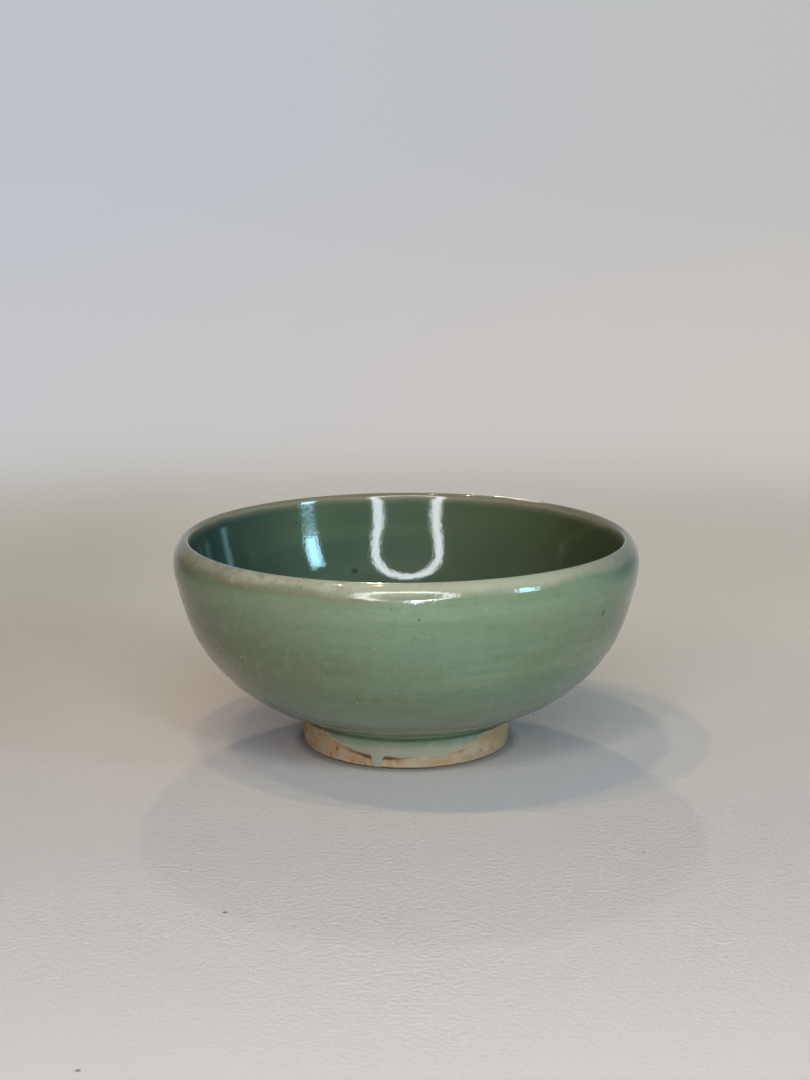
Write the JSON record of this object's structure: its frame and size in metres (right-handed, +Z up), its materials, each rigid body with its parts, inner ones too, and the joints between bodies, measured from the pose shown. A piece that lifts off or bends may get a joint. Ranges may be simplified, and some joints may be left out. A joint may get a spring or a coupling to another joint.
{
  "type": "rice bowl",
  "caption": "Round wheel-thrown stoneware rice bowl with a rounded lip, a full belly, sage-green celadon glaze inside and out, and a low bare clay foot ring.",
  "frame": {"origin": "on the table at the centre of the foot ring", "axes": "+Z up along the bowl's axis of revolution, -Y towards the front where glaze ran onto the foot"},
  "size_m": [0.12, 0.12, 0.055],
  "materials": {
    "stoneware": "bare fired clay, warm orange tan with dark iron specks, matt and slightly gritty",
    "celadon_outside": "glossy sage-green celadon with faint throwing bands, fine pinholes and iron specks",
    "celadon_inside": "glossy deep green celadon that thins to a pale tan band over the lip",
    "celadon_thin": "thin semi-gloss grey-green glaze with a dark brown edge line"
  },
  "bodies": {
    "root": {"bowl_body": "stoneware", "foot_ring": "stoneware", "outer_glaze": "celadon_outside", "inner_glaze": "celadon_inside", "foot_glaze": "celadon_thin"}
  },
  "joints": []
}
